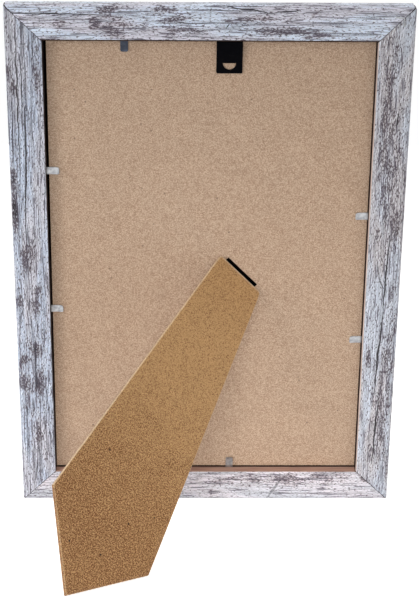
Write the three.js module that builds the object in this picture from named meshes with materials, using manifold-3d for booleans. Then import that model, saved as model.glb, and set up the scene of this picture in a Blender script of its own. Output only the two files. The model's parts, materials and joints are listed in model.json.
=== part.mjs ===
// A free-standing picture frame: four mitred rails, glass, a picture sheet and a fibreboard back panel that is
// held by flexible steel points, with a hanger for the wall and a leg that plugs into the panel for the table.
//
// Everything is drawn as seen from behind, lying in its own plane: x runs to the right, y up and z towards the
// viewer behind the frame, with z = 0 on the back face of the rails. The whole is then leaned back on its leg.
// Sizes are in millimetres and angles in degrees.

import * as THREE from "three";
import { mergeVertices } from "three/addons/utils/BufferGeometryUtils.js";
import Module from "manifold-3d";

const wasm = await Module();
wasm.setup();

// Rails
const rabbetWidth = 203;
const rabbetHeight = 303;
const railWidth = 22.5;
const outerSideDepth = 8;
const lipWidth = 6;
const lipThickness = 3.6;
const arrisRadius = 2.5;
const sightRounding = 2;
const mitreGap = 0.3;

// The pack in the rabbet, from the back of the frame to its front
const panelRecess = 6.2;
const panelThickness = 2.5;
const sheetThickness = 0.3;
const glassThickness = 2;
const seatGap = 0.3;
const panelGapLeft = 1.6;
const panelGapRight = 0.4;
const panelGapTop = 1.3;
const panelGapBottom = 0.9;
const glassGap = 0.5;
const sheetGap = 1;

// V-nails in the mitres
const nailArm = 5;
const nailThickness = 0.5;
const nailLength = 7;
const nailOpening = 105;
const nailClearance = 0.2;
const nailSink = 0.3;
const nailInsets = { outer: 7.5, inner: 16 };

// Flexible points: a root driven into the rail and a tongue that bends at the rabbet wall
const tabWidth = 4.8;
const tabThickness = 0.5;
const tabReach = 8;
const tabStub = 0.6;
const tabBendGap = 0.3;
const tabCorner = 1.2;
const tabRootDepth = 6;
const tabClearance = 0.2;
// Where the points stand along each rail, from its middle, going round anticlockwise
const tabPlaces = { bottom: [15.9], right: [34.8, -53.5], top: [52], left: [-65.3, 31.1] };

// Hanger: a bent strip that hooks over the panel's top edge
const hangerWidth = 16;
const hangerOffset = 12;
const hangerThickness = 0.6;
const hangerHook = 12;
const hangerRise = 2;
const hangerRaisedLength = 8.2;
const hangerSlopeLength = 5;
const hangerLowerLength = 7.3;
const hangerCorner = 1;
const nailHoleWidth = 8;
const nailHoleHeight = 4.2;
const nailHoleMargin = 2.4;

// Leg and how it stands
const leanAngle = 17.9;
const legAngle = 55.7;
const slotAngle = -45.8;
const slotCentreX = 20.3;
const slotCentreY = -6.6;
const slotClearance = 0.2;
const legThickness = 2.5;
const legTopWidth = 36.8;
const legFootWidth = 80.4;
const legCorner = 2.2;
const bladeWidth = 26.4;
const bladeThickness = 0.8;
const bladeLength = 22;

const ARC_SEGMENTS = 5;
const frameWidth = rabbetWidth + 2 * railWidth;
const frameHeight = rabbetHeight + 2 * railWidth;
const panelBack = -panelRecess;
const panelFront = panelBack - panelThickness;
const sheetBack = panelFront - seatGap;
const glassBack = sheetBack - sheetThickness - seatGap;
const rabbetFloor = glassBack - glassThickness - seatGap;
const frontFace = rabbetFloor - lipThickness;
const tabUnderside = panelBack + seatGap;
const hangerOuterFace = panelBack + hangerRise + hangerThickness;

const finishes = {
  rail: { color: 0xb9bbc6, roughness: 0.62, metalness: 0 },
  panel: { color: 0xb79c86, roughness: 0.9, metalness: 0 },
  leg: { color: 0xa37d55, roughness: 0.82, metalness: 0 },
  glass: { color: 0xdfe8e6, roughness: 0.05, metalness: 0, transparent: true, opacity: 0.25 },
  paper: { color: 0xf2efe8, roughness: 0.95, metalness: 0 },
  blackSteel: { color: 0x16161a, roughness: 0.45, metalness: 0.4 },
  brightSteel: { color: 0xaeb4bb, roughness: 0.35, metalness: 0.9 },
};

const radians = THREE.MathUtils.degToRad;

function piece(name, geometry, finish) {
  const mesh = new THREE.Mesh(geometry, new THREE.MeshStandardMaterial(finishes[finish]));
  mesh.name = name;
  return mesh;
}

// Booleans on closed geometries

function toSolid(geometry) {
  const bare = new THREE.BufferGeometry();
  bare.setAttribute("position", geometry.getAttribute("position"));
  bare.setIndex(geometry.getIndex());
  const merged = mergeVertices(bare);
  const mesh = new wasm.Mesh({
    numProp: 3,
    vertProperties: Float32Array.from(merged.getAttribute("position").array),
    triVerts: Uint32Array.from(merged.getIndex().array),
  });
  return new wasm.Manifold(mesh);
}

function fromSolid(solid) {
  const { vertProperties, triVerts } = solid.getMesh();
  const geometry = new THREE.BufferGeometry();
  geometry.setAttribute("position", new THREE.BufferAttribute(vertProperties, 3));
  geometry.setIndex(new THREE.BufferAttribute(triVerts, 1));
  geometry.computeVertexNormals();
  return geometry;
}

function cut(geometry, cutters) {
  const solid = cutters.reduce((rest, cutter) => rest.subtract(toSolid(cutter)), toSolid(geometry));
  return fromSolid(solid);
}

function common(geometry, other) {
  return fromSolid(toSolid(geometry).intersect(toSolid(other)));
}

// Flat outlines and plates

function outline(points) {
  return new THREE.Shape(points.map(([x, y]) => new THREE.Vector2(x, y)));
}

function plate(shape, low, high) {
  const geometry = new THREE.ExtrudeGeometry(shape, {
    depth: high - low,
    bevelEnabled: false,
    curveSegments: ARC_SEGMENTS,
  });
  return geometry.translate(0, 0, low);
}

function block(x0, x1, y0, y1, z0, z1) {
  return plate(outline([[x0, y0], [x1, y0], [x1, y1], [x0, y1]]), z0, z1);
}

// A rectangle from y0 to y1 whose two corners at y1 are rounded.
function roundedTongue(width, y0, y1, radius) {
  const half = width / 2;
  const shape = new THREE.Shape();
  shape.moveTo(-half, y0);
  shape.lineTo(half, y0);
  shape.lineTo(half, y1 - radius);
  shape.absarc(half - radius, y1 - radius, radius, 0, Math.PI / 2);
  shape.absarc(radius - half, y1 - radius, radius, Math.PI / 2, Math.PI);
  return shape;
}

// Rails: a side's own axes run along the rail (x) and inwards (y), with the outer edge at y = -reach

const sides = {
  bottom: { turn: 0, length: frameWidth, reach: frameHeight / 2, corner: "bottom_right" },
  right: { turn: 90, length: frameHeight, reach: frameWidth / 2, corner: "top_right" },
  top: { turn: 180, length: frameWidth, reach: frameHeight / 2, corner: "top_left" },
  left: { turn: 270, length: frameHeight, reach: frameWidth / 2, corner: "bottom_left" },
};

function railSection() {
  const sightEdge = railWidth + lipWidth;
  const frontSlope = (-frontFace - outerSideDepth) / sightEdge;
  const shape = new THREE.Shape();
  shape.moveTo(railWidth, 0);
  shape.lineTo(railWidth, rabbetFloor);
  shape.lineTo(sightEdge, rabbetFloor);
  shape.lineTo(sightEdge, frontFace + sightRounding);
  shape.quadraticCurveTo(sightEdge, frontFace, sightEdge - sightRounding, frontFace + sightRounding * frontSlope);
  shape.lineTo(0, -outerSideDepth);
  shape.lineTo(0, -arrisRadius);
  shape.absarc(arrisRadius, -arrisRadius, arrisRadius, Math.PI, Math.PI / 2, true);
  return shape;
}

// The section is pulled along the rail. Each of its points runs to the mitre, so one further in ends sooner.
function mitredBar({ length, reach }) {
  const geometry = plate(railSection(), -1, 1);
  const position = geometry.getAttribute("position");
  for (let i = 0; i < position.count; i += 1) {
    const inset = position.getX(i);
    const halfLength = length / 2 - inset - mitreGap / Math.SQRT2;
    position.setXYZ(i, Math.sign(position.getZ(i)) * halfLength, inset - reach, position.getY(i));
  }
  return geometry;
}

function veeShape(armLength, thickness) {
  const half = radians(nailOpening / 2);
  const along = new THREE.Vector2(Math.sin(half), Math.cos(half)).multiplyScalar(armLength);
  const across = new THREE.Vector2(Math.cos(half), -Math.sin(half)).multiplyScalar(thickness / 2);
  const apex = thickness / 2 / Math.sin(half);
  return outline([
    [0, -apex],
    [along.x + across.x, along.y + across.y],
    [along.x - across.x, along.y - across.y],
    [0, apex],
    [across.x - along.x, along.y - across.y],
    [-along.x - across.x, along.y + across.y],
  ]);
}

function atCorner(geometry, side, end, inset) {
  geometry.rotateZ(end * radians(45));
  return geometry.translate(end * (side.length / 2 - inset), inset - side.reach, 0);
}

function nailCutters(side) {
  const shape = veeShape(nailArm + nailClearance, nailThickness + 2 * nailClearance);
  const low = -nailSink - nailLength - nailClearance;
  return [-1, 1].flatMap((end) =>
    Object.values(nailInsets).map((inset) => atCorner(plate(shape, low, nailClearance), side, end, inset)),
  );
}

function tabRootCutter(side, along) {
  const half = tabWidth / 2 + tabClearance;
  const wall = railWidth - side.reach;
  const deep = wall - tabRootDepth - tabClearance;
  const low = tabUnderside - tabClearance;
  const high = tabUnderside + tabThickness + tabClearance;
  return block(along - half, along + half, deep, wall + tabStub, low, high);
}

function tabPieces(name, side, along) {
  const wall = railWidth - side.reach;
  const high = tabUnderside + tabThickness;
  const half = tabWidth / 2;
  const root = block(along - half, along + half, wall - tabRootDepth, wall + tabStub, tabUnderside, high);
  const tongueShape = roundedTongue(tabWidth, wall + tabStub + tabBendGap, wall + tabReach, tabCorner);
  const tongue = plate(tongueShape, tabUnderside, high).translate(along, 0, 0);
  return [piece(`tab_root_${name}`, root, "brightSteel"), piece(`tab_tongue_${name}`, tongue, "brightSteel")];
}

function cornerNail(side, place, inset) {
  const geometry = plate(veeShape(nailArm, nailThickness), -nailSink - nailLength, -nailSink);
  return piece(`corner_nail_${side.corner}_${place}`, atCorner(geometry, side, 1, inset), "brightSteel");
}

function sideGroup(name, side) {
  const group = new THREE.Group();
  const cutters = nailCutters(side);
  const places = tabPlaces[name];
  places.forEach((along, index) => {
    const tabName = places.length > 1 ? `${name}_${index + 1}` : name;
    cutters.push(tabRootCutter(side, along));
    group.add(...tabPieces(tabName, side, along));
  });
  group.add(piece(`rail_${name}`, cut(mitredBar(side), cutters), "rail"));
  Object.entries(nailInsets).forEach(([place, inset]) => group.add(cornerNail(side, place, inset)));
  group.rotation.z = radians(side.turn);
  return group;
}

// The pack in the rabbet

function rabbetSheet(gap, back, thickness) {
  const halfWidth = rabbetWidth / 2 - gap;
  const halfHeight = rabbetHeight / 2 - gap;
  return block(-halfWidth, halfWidth, -halfHeight, halfHeight, back - thickness, back);
}

const panelTop = rabbetHeight / 2 - panelGapTop;

// The slot goes straight through the panel and is wide enough for the blade that slants through it.
function slotCutter() {
  const slope = radians(legAngle);
  const halfLength = bladeWidth / 2 + slotClearance;
  const rise = bladeThickness / Math.sin(slope) + panelThickness / Math.tan(slope) + slotClearance;
  const cutter = block(-halfLength, halfLength, -slotClearance, rise, panelFront - seatGap, panelBack + seatGap);
  return cutter.rotateZ(radians(slotAngle)).translate(slotCentreX, slotCentreY, 0);
}

// The hook behind the panel lies in a pocket, flush with the panel's front.
function hangerPocket() {
  const half = hangerWidth / 2 + seatGap;
  const bottom = panelTop - hangerHook - seatGap;
  const floor = panelFront + hangerThickness + seatGap;
  return block(hangerOffset - half, hangerOffset + half, bottom, panelTop + seatGap, panelFront - seatGap, floor);
}

function backPanel() {
  const left = panelGapLeft - rabbetWidth / 2;
  const right = rabbetWidth / 2 - panelGapRight;
  const bottom = panelGapBottom - rabbetHeight / 2;
  return cut(block(left, right, bottom, panelTop, panelFront, panelBack), [slotCutter(), hangerPocket()]);
}

// Hanger

// The strip's middle line in the y-z plane, from the hook's end over the panel's edge to the lower end.
function hangerLine() {
  const middle = hangerThickness / 2;
  const hookPlane = panelFront + middle;
  const raisedPlane = panelBack + hangerRise + middle;
  const lowerPlane = panelBack + seatGap + middle;
  const top = panelTop + seatGap + middle;
  const slopeTop = panelTop - hangerRaisedLength;
  const slopeBottom = slopeTop - hangerSlopeLength;
  return [
    [panelTop - hangerHook, hookPlane],
    [top, hookPlane],
    [top, raisedPlane],
    [slopeTop, raisedPlane],
    [slopeBottom, lowerPlane],
    [slopeBottom - hangerLowerLength, lowerPlane],
  ].map(([y, z]) => new THREE.Vector2(y, z));
}

// A bent strip's outline: its middle line moved half the thickness to each side, with mitred bends.
function stripOutline(line, thickness) {
  const normals = line.slice(1).map((point, i) => {
    const run = point.clone().sub(line[i]).normalize();
    return new THREE.Vector2(-run.y, run.x);
  });
  const offsets = line.map((_, i) => {
    const before = normals[Math.max(i - 1, 0)];
    const after = normals[Math.min(i, normals.length - 1)];
    const miter = before.clone().add(after);
    return miter.multiplyScalar(thickness / miter.dot(before) / 2);
  });
  const oneSide = line.map((point, i) => point.clone().add(offsets[i]));
  const otherSide = line.map((point, i) => point.clone().sub(offsets[i]));
  return new THREE.Shape([...oneSide, ...otherSide.reverse()]);
}

// A hole with a flat top and a round bottom.
function nailHole(bottom) {
  const half = nailHoleWidth / 2;
  const shape = new THREE.Shape();
  const top = bottom + nailHoleHeight;
  shape.moveTo(-half, top);
  shape.absellipse(0, top, half, nailHoleHeight, Math.PI, 2 * Math.PI);
  return plate(shape, panelBack, hangerOuterFace + seatGap);
}

function hangerPlate() {
  const line = hangerLine();
  const bottom = line[line.length - 1].x;
  const strip = plate(stripOutline(line, hangerThickness), -hangerWidth / 2, hangerWidth / 2);
  // The strip is drawn in y and z and pulled along x.
  strip.applyMatrix4(new THREE.Matrix4().set(0, 0, 1, 0, 1, 0, 0, 0, 0, 1, 0, 0, 0, 0, 0, 1));
  const roundEnd = plate(
    roundedTongue(hangerWidth, -panelTop - hangerThickness - seatGap, -bottom, hangerCorner),
    sheetBack,
    hangerOuterFace + seatGap,
  ).rotateZ(Math.PI);
  const trimmed = common(strip, roundEnd);
  return cut(trimmed, [nailHole(bottom + nailHoleMargin)]).translate(hangerOffset, 0, 0);
}

// Leg: its own axes run along the slot (x), up the leg to its blade (y) and out of its outer face (z)

function placeLeg(object) {
  object.position.set(slotCentreX, slotCentreY, panelBack);
  object.rotation.set(-radians(legAngle), 0, radians(slotAngle), "ZYX");
  return object;
}

function leanBack(object) {
  object.rotation.set(Math.PI / 2 + radians(leanAngle), 0, Math.PI, "ZYX");
  return object;
}

// The floor touches the bottom rail at the lowest point of its section.
function floorHeight() {
  const lean = radians(leanAngle);
  const heights = railSection()
    .getPoints(ARC_SEGMENTS)
    .map((point) => (point.x - frameHeight / 2) * Math.cos(lean) - point.y * Math.sin(lean));
  return Math.min(...heights);
}

// Where a floor cuts the leg's underside, as a line y = rise * x + level, from each point's height above that floor.
function floorLine(heightOf) {
  const leg = placeLeg(new THREE.Object3D());
  leg.updateMatrix();
  const heightAt = (x, y) => heightOf(new THREE.Vector3(x, y, 0).applyMatrix4(leg.matrix));
  const start = heightAt(0, 0);
  const alongX = heightAt(1, 0) - start;
  const alongY = heightAt(0, 1) - start;
  return { rise: -alongX / alongY, level: -start / alongY };
}

function portraitFloor() {
  const lean = radians(leanAngle);
  const floor = floorHeight();
  return floorLine((point) => point.y * Math.cos(lean) - point.z * Math.sin(lean) - floor);
}

// On its long side the frame leans until the same tip of the leg meets the floor.
function landscapeFloor(level) {
  const leg = placeLeg(new THREE.Object3D());
  leg.updateMatrix();
  const tip = new THREE.Vector3(0, level, 0).applyMatrix4(leg.matrix);
  const edge = -frameWidth / 2;
  return floorLine((point) => (point.x - edge) * tip.z - point.z * (tip.x - edge));
}

// Two foot edges meet in the tip: one lies on the floor in portrait, the other in landscape.
function legOutline() {
  const shoulder = -seatGap / Math.sin(radians(legAngle));
  const portrait = portraitFloor();
  const landscape = landscapeFloor(portrait.level);
  const halfTop = legTopWidth / 2;
  const halfFoot = legFootWidth / 2;
  const shape = new THREE.Shape();
  shape.moveTo(-halfTop, shoulder - legCorner);
  shape.lineTo(-halfFoot, portrait.level - landscape.rise * halfFoot);
  shape.lineTo(0, portrait.level);
  shape.lineTo(halfFoot, portrait.level + portrait.rise * halfFoot);
  shape.lineTo(halfTop, shoulder - legCorner);
  shape.quadraticCurveTo(halfTop, shoulder, halfTop - legCorner, shoulder);
  shape.lineTo(legCorner - halfTop, shoulder);
  shape.quadraticCurveTo(-halfTop, shoulder, -halfTop, shoulder - legCorner);
  return shape;
}

// The blade lies let into the leg's underside and runs on through the slot, just short of the picture sheet.
function bladeBlock(clearance) {
  const half = bladeWidth / 2 + clearance;
  const end = (panelThickness - seatGap) / Math.sin(radians(legAngle));
  return block(-half, half, -bladeLength - clearance, end, -clearance, bladeThickness + clearance);
}

function legGroup() {
  const board = cut(plate(legOutline(), 0, legThickness), [bladeBlock(slotClearance)]);
  const group = placeLeg(new THREE.Group());
  group.add(piece("easel_leg", board, "leg"), piece("leg_blade", bladeBlock(0), "blackSteel"));
  return group;
}

// Assembly

const frame = leanBack(new THREE.Group());
Object.entries(sides).forEach(([name, side]) => frame.add(sideGroup(name, side)));
frame.add(piece("glass_pane", rabbetSheet(glassGap, glassBack, glassThickness), "glass"));
frame.add(piece("picture_sheet", rabbetSheet(sheetGap, sheetBack, sheetThickness), "paper"));
frame.add(piece("back_panel", backPanel(), "panel"));
frame.add(piece("hanger_plate", hangerPlate(), "blackSteel"));
frame.add(legGroup());

// The part stands on z = 0, with the middle of its footprint box at the origin.
const pictureFrame = new THREE.Group();
pictureFrame.add(frame);
const box = new THREE.Box3().setFromObject(pictureFrame, true);
const middle = box.getCenter(new THREE.Vector3());
frame.position.set(-middle.x, -middle.y, -box.min.z);

export default pictureFrame;
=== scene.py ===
"""Looks of a free-standing picture frame that is seen from behind.

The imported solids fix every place. Each sub-assembly is a class that measures the solids that it dresses,
models its pieces with edit-mode operators on a bench, in millimetres and in flat axes of its own, puts them
in their place in the part's frame and gives them their finish.
"""

import json
import logging
import math
from abc import ABC, abstractmethod
from contextlib import contextmanager
from dataclasses import dataclass, field
from enum import Enum, IntEnum
from typing import Callable, Dict, Iterator, List, Sequence, Tuple, Union

import bmesh
import bpy
from mathutils import Matrix, Vector


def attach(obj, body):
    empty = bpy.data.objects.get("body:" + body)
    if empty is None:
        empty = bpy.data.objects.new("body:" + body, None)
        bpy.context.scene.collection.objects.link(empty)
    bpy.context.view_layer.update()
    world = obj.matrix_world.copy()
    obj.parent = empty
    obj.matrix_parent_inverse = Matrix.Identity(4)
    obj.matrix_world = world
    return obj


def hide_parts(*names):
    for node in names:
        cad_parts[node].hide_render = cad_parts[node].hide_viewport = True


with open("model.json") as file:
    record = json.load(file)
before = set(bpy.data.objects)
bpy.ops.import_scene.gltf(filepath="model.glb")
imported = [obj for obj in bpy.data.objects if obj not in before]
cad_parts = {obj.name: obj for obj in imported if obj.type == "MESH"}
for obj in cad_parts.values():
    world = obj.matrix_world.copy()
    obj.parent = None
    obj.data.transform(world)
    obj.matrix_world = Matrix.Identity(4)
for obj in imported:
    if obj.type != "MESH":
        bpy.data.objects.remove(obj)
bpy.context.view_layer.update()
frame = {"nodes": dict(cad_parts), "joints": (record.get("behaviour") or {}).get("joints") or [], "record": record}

LOG = logging.getLogger("picture_frame")

# Metres in a millimetre; then, in millimetres, the tolerance and how far a cutter runs past what it cuts.
MM = 0.001
EPS = 1e-3
CLEAR = 1.0

# How much of a face's normal points one way: nearly all, about half, some, and next to none.
FACING = 0.9
SLANTED = 0.5
TURNED = 0.3
LEVEL = 0.05

Socket = bpy.types.NodeSocket
Band = Tuple[float, float]
Triple = Tuple[float, float, float]
Colour = Tuple[float, float, float, float]
Value = Union[float, Sequence[float], Socket]

WHITE: Colour = (1.0, 1.0, 1.0, 1.0)


def tint(red: int, green: int, blue: int) -> Colour:
    """Turn a display colour into the linear colour that a shader takes.

    Args:
        red: level of red, from 0 to 255.
        green: level of green.
        blue: level of blue.

    Returns:
        The linear colour, with full cover.
    """
    def linear(level: int) -> float:
        """Undo the display's usual curve for one channel."""
        share = level / 255
        return share / 12.92 if share <= 0.04045 else ((share + 0.055) / 1.055) ** 2.4

    return linear(red), linear(green), linear(blue), 1.0


def even(size: float) -> Vector:
    """Give a vector that is the same along each axis."""
    return Vector((size, size, size))


class Side(Enum):
    """The four sides of the frame, seen from behind, with the turn of each side's own axes."""

    BOTTOM = ("bottom", 0)
    RIGHT = ("right", 90)
    TOP = ("top", 180)
    LEFT = ("left", 270)

    @property
    def label(self) -> str:
        """Name that the side's nodes carry."""
        return self.value[0]

    @property
    def turn(self) -> float:
        """Turn about the back's normal, in radians."""
        return math.radians(self.value[1])


class Element(Enum):
    """What edit mode selects, named as its select mode, with the mesh's own word for it."""

    VERT = "verts"
    EDGE = "edges"
    FACE = "faces"


@dataclass(frozen=True)
class Axes:
    """Own axes of a sub-assembly: they turn millimetres on the bench into metres in the part's frame."""

    to_part: Matrix

    def bench_matrix(self) -> Matrix:
        """Give the matrix from bench millimetres to the part's metres."""
        return self.to_part @ Matrix.Scale(MM, 4)

    def points(self, *nodes: str) -> List[Vector]:
        """List the vertices of CAD nodes in these axes, in millimetres."""
        to_bench = self.bench_matrix().inverted()
        return [to_bench @ vertex.co for name in nodes for vertex in frame["nodes"][name].data.vertices]

    def box(self, *nodes: str) -> Tuple[Vector, Vector]:
        """Measure CAD nodes in these axes.

        Args:
            nodes: names of the CAD nodes.

        Returns:
            The lowest and the highest corner, in millimetres.
        """
        found = self.points(*nodes)
        low = Vector(min(point[axis] for point in found) for axis in range(3))
        high = Vector(max(point[axis] for point in found) for axis in range(3))
        return low, high

    def moved(self, x: float, y: float, z: float) -> "Axes":
        """Give the same directions from another origin, in millimetres."""
        return Axes(self.to_part @ Matrix.Translation(Vector((x, y, z)) * MM))

    def turned(self, angle: float) -> "Axes":
        """Give these axes after a turn about their own z."""
        return Axes(self.to_part @ Matrix.Rotation(angle, 4, "Z"))


def basis(right: Vector, up: Vector, out: Vector) -> Axes:
    """Make axes at the part's origin from three directions."""
    return Axes(Matrix((right, up, out)).transposed().to_4x4())


def back_axes() -> Axes:
    """Find the flat back of the leaning frame.

    Returns:
        Axes with x to the right, y up and z out of the back, on the middle of the rails' back faces.
    """
    mounts = {mount["name"]: mount for mount in frame["record"]["mounts"]}
    out = Vector(mounts["wall_face"]["axis"]).normalized()
    right = Vector((-1, 0, 0))
    flat = basis(right, out.cross(right), out)
    low, high = flat.box(*(f"rail_{side.label}" for side in Side))
    middle = (low + high) / 2
    return flat.moved(middle.x, middle.y, high.z)


def leg_axes(back: Axes) -> Axes:
    """Find the leg's own flat axes.

    Args:
        back: axes of the frame's back.

    Returns:
        Axes with y up the leg to its straight top edge, z out of its outer face and zero on its underside.
    """
    pull = next(joint for joint in frame["joints"] if joint["name"] == "leg_pull")
    up = -Vector(pull["axis"]).normalized()
    out = back.to_part.to_3x3() @ Vector((0, 0, 1))
    across = up.cross(out).normalized()
    flat = basis(across, up, across.cross(up))
    low, high = flat.box("easel_leg")
    blade_low, blade_high = flat.box("leg_blade")
    return flat.moved((blade_low.x + blade_high.x) / 2, high.y, low.z)


class Bench:
    """One mesh at a time, started from a primitive and shaped as by hand, in millimetres."""

    def __init__(self, name: str, scale: Sequence[float] = (1, 1, 1)) -> None:
        """Take the primitive that was just added.

        Args:
            name: the piece's name.
            scale: what stretches the primitive to its size.
        """
        self.piece = bpy.context.active_object
        self.piece.name = name
        self.piece.data.name = name
        self.piece.scale = scale
        bpy.ops.object.transform_apply(location=True, rotation=True, scale=True)

    @classmethod
    def cube(cls, name: str, low: Vector, high: Vector) -> "Bench":
        """Start from a cube between two corners.

        Args:
            name: the piece's name.
            low: its lowest corner.
            high: its highest corner.

        Returns:
            The bench with the cube on it.
        """
        bpy.ops.object.select_all(action="DESELECT")
        bpy.ops.mesh.primitive_cube_add(size=1, location=(low + high) / 2)
        return cls(name, high - low)

    @classmethod
    def plane(cls, name: str, low: Vector, high: Vector) -> "Bench":
        """Start from a flat plate.

        Args:
            name: the piece's name.
            low: its lowest corner.
            high: the corner across from it, at the same height.

        Returns:
            The bench with the plate on it.
        """
        bpy.ops.object.select_all(action="DESELECT")
        bpy.ops.mesh.primitive_plane_add(size=1, location=(low + high) / 2)
        return cls(name, (high.x - low.x, high.y - low.y, 1))

    @classmethod
    def round_bar(cls, name: str, middle: Vector, half: Vector, sides: int) -> "Bench":
        """Start from an upright bar of oval section.

        Args:
            name: the piece's name.
            middle: middle of the bar.
            half: half of its size along x, y and z.
            sides: number of flat sides.

        Returns:
            The bench with the bar on it.
        """
        bpy.ops.object.select_all(action="DESELECT")
        bpy.ops.mesh.primitive_cylinder_add(vertices=sides, radius=1, depth=2, location=middle)
        return cls(name, half)

    @classmethod
    def copy_of(cls, name: str, node: str, axes: Axes) -> "Bench":
        """Start from a merged copy of a CAD node.

        Args:
            name: the copy's name.
            node: the CAD node.
            axes: axes that the copy is wanted in.

        Returns:
            The bench with the copy on it.
        """
        bpy.ops.object.select_all(action="DESELECT")
        twin = bpy.data.objects.new(name, frame["nodes"][node].data.copy())
        bpy.context.scene.collection.objects.link(twin)
        twin.data.transform(axes.bench_matrix().inverted())
        bpy.context.view_layer.objects.active = twin
        twin.select_set(True)
        bench = cls(name)
        with bench.shaping():
            bpy.ops.mesh.select_all(action="SELECT")
            bpy.ops.mesh.remove_doubles(threshold=EPS)
        return bench

    def activate(self) -> None:
        """Make the piece the only one that operators act on."""
        bpy.ops.object.select_all(action="DESELECT")
        self.piece.select_set(True)
        bpy.context.view_layer.objects.active = self.piece

    @contextmanager
    def shaping(self) -> Iterator["Bench"]:
        """Hold the piece in edit mode.

        Yields:
            This bench.
        """
        self.activate()
        bpy.ops.object.mode_set(mode="EDIT")
        try:
            yield self
        finally:
            bpy.ops.object.mode_set(mode="OBJECT")

    def select(self, kind: Element, test: Callable[..., bool]) -> None:
        """Select the elements of one kind that pass a test.

        Args:
            kind: what is selected.
            test: tells whether an element is wanted.
        """
        bpy.ops.mesh.select_mode(type=kind.name)
        bpy.ops.mesh.select_all(action="DESELECT")
        mesh = bmesh.from_edit_mesh(self.piece.data)
        mesh.normal_update()
        for element in getattr(mesh, kind.value):
            element.select_set(bool(test(element)))
        bmesh.update_edit_mesh(self.piece.data)

    def faces(self, test: Callable[[Vector, Vector], bool]) -> None:
        """Select the faces whose middle and normal pass a test."""
        self.select(Element.FACE, lambda face: test(face.calc_center_median(), face.normal))

    def edges(self, test: Callable[[Vector, Vector], bool]) -> None:
        """Select the edges whose two ends pass a test."""
        self.select(Element.EDGE, lambda edge: test(edge.verts[0].co, edge.verts[1].co))

    def corners(self, test: Callable[[Vector], bool]) -> None:
        """Select the vertices that pass a test."""
        self.select(Element.VERT, lambda vertex: test(vertex.co))

    def upright_edges(self, lowest: float = -math.inf, highest: float = math.inf) -> None:
        """Select the edges that run along z and whose ends lie between two levels of y."""
        self.edges(lambda a, b: abs(a.z - b.z) > EPS and lowest < min(a.y, b.y) and max(a.y, b.y) < highest)

    def cut(self, point: Sequence[float], normal: Sequence[float], keep_both: bool = False) -> None:
        """Cut the whole mesh with a plane.

        Args:
            point: a point on the plane.
            normal: the plane's normal; what lies on that side is taken off.
            keep_both: whether the plane only scores the faces.
        """
        bpy.ops.mesh.select_all(action="SELECT")
        bpy.ops.mesh.bisect(
            plane_co=point,
            plane_no=Vector(normal).normalized(),
            clear_outer=not keep_both,
            use_fill=not keep_both,
            threshold=EPS,
        )

    def bevel(self, width: float, steps: int) -> None:
        """Round the selected edges."""
        bpy.ops.mesh.bevel(offset=width, segments=steps, affect="EDGES", clamp_overlap=True)

    def modifier(self, kind: str, **settings: object) -> None:
        """Add a modifier and apply it.

        Args:
            kind: the modifier's type.
            settings: its settings.
        """
        self.activate()
        added = self.piece.modifiers.new(kind.title(), kind)
        for name, value in settings.items():
            setattr(added, name, value)
        bpy.ops.object.modifier_apply(modifier=added.name)

    def carve(self, cutter: "Bench") -> None:
        """Cut another bench's piece out of this one and clear that piece away.

        Args:
            cutter: the bench with the piece that cuts.
        """
        self.modifier("BOOLEAN", operation="DIFFERENCE", solver="EXACT", object=cutter.piece)
        used = cutter.piece.data
        bpy.data.objects.remove(cutter.piece)
        bpy.data.meshes.remove(used)

    def soften(self, width: float, steps: int = 2, angle: float = 40) -> None:
        """Round every edge that is sharper than an angle, in degrees."""
        limit = math.radians(angle)
        self.modifier("BEVEL", width=width, segments=steps, limit_method="ANGLE", angle_limit=limit)

    def place(self, axes: Axes, smooth: float = 35) -> bpy.types.Object:
        """Put the piece in the part's frame.

        Args:
            axes: the axes that it was modelled in.
            smooth: the angle, in degrees, under which faces shade as one.

        Returns:
            The finished object, at the origin with its place in its mesh.
        """
        self.activate()
        self.piece.matrix_world = axes.bench_matrix()
        bpy.ops.object.transform_apply(location=True, rotation=True, scale=True)
        bpy.ops.object.shade_smooth_by_angle(angle=math.radians(smooth))
        # Wide faces keep their own normals, so they shade flat beside their eased edges.
        self.modifier("WEIGHTED_NORMAL", weight=100, keep_sharp=True)
        return self.piece


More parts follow.
